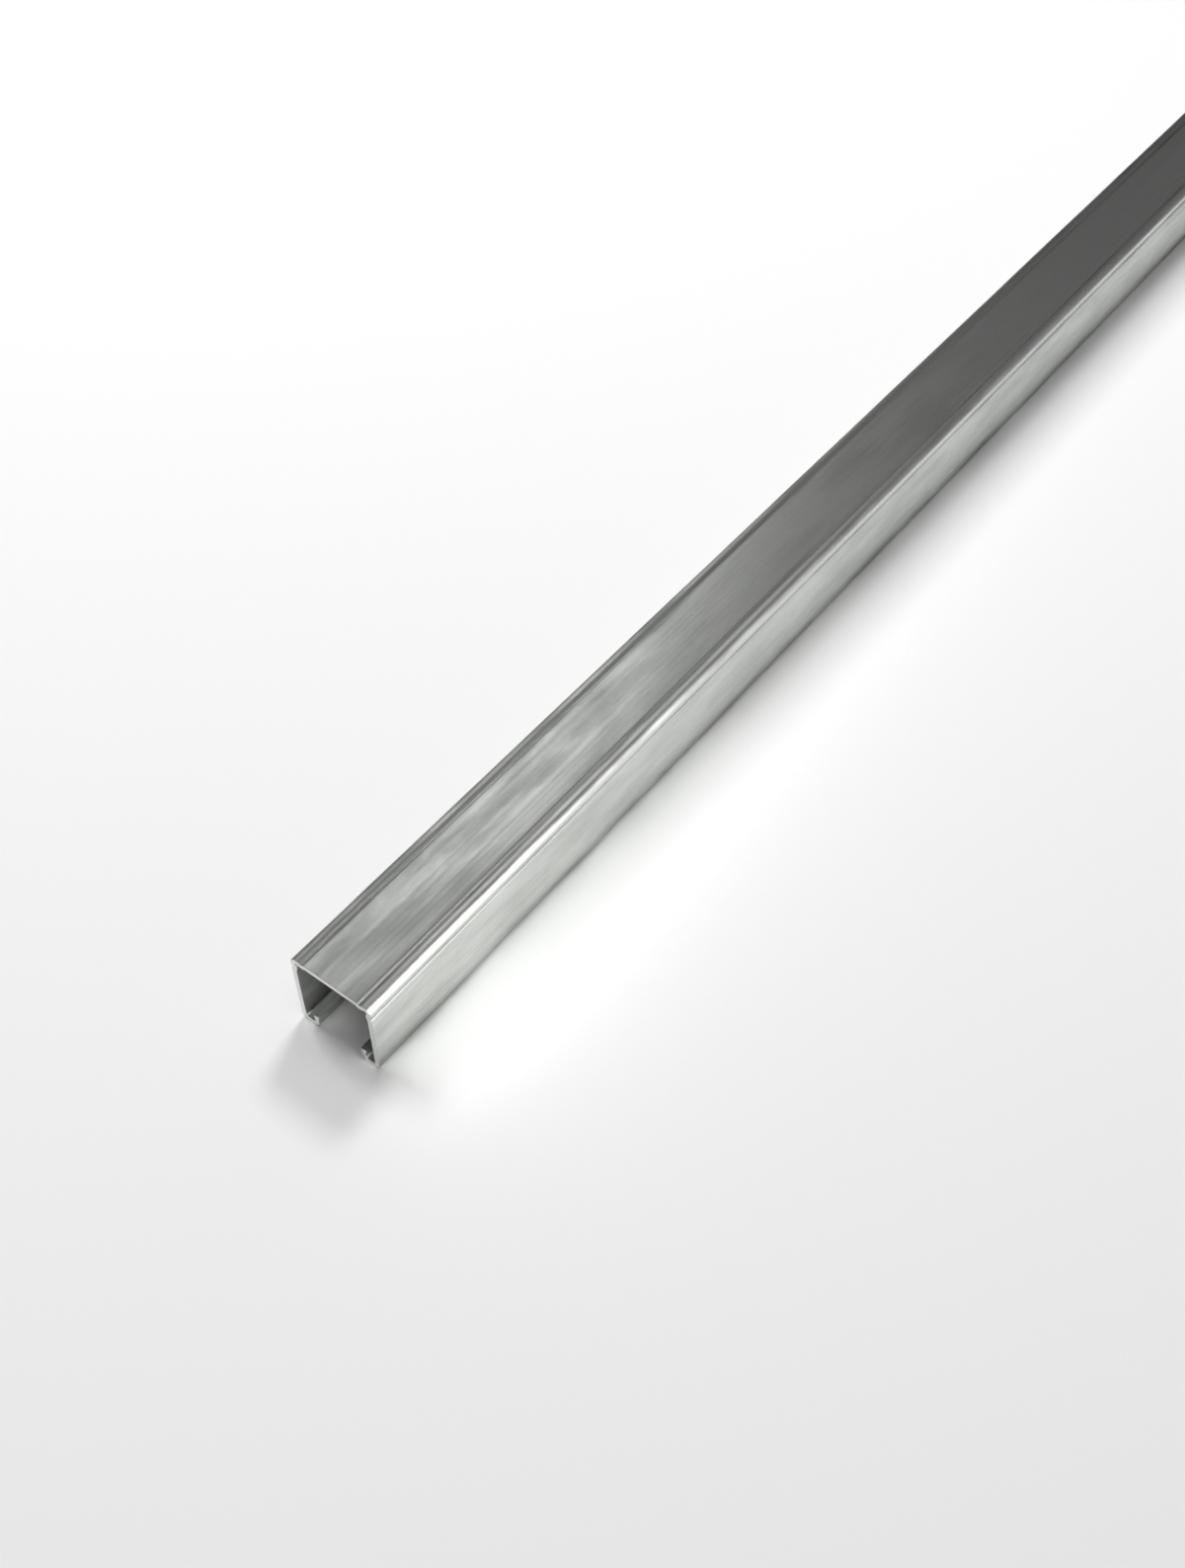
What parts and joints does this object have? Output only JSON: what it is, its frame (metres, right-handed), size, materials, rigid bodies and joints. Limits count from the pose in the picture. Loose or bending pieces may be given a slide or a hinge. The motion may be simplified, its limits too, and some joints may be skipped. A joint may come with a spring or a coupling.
{
  "type": "strut channel",
  "caption": "Plain steel strut channel: a long C-section with beaded web and flanges, in-turned lips and an open slot along one side.",
  "frame": {"origin": "midway along and across the channel, on the plane that the lips rest on", "axes": "+X along the channel, +Z from the lips to the web"},
  "size_m": [1, 0.0412, 0.0413],
  "materials": {
    "strut_channel": "satin"
  },
  "bodies": {
    "root": {"strut_channel": "strut_channel"}
  },
  "joints": []
}
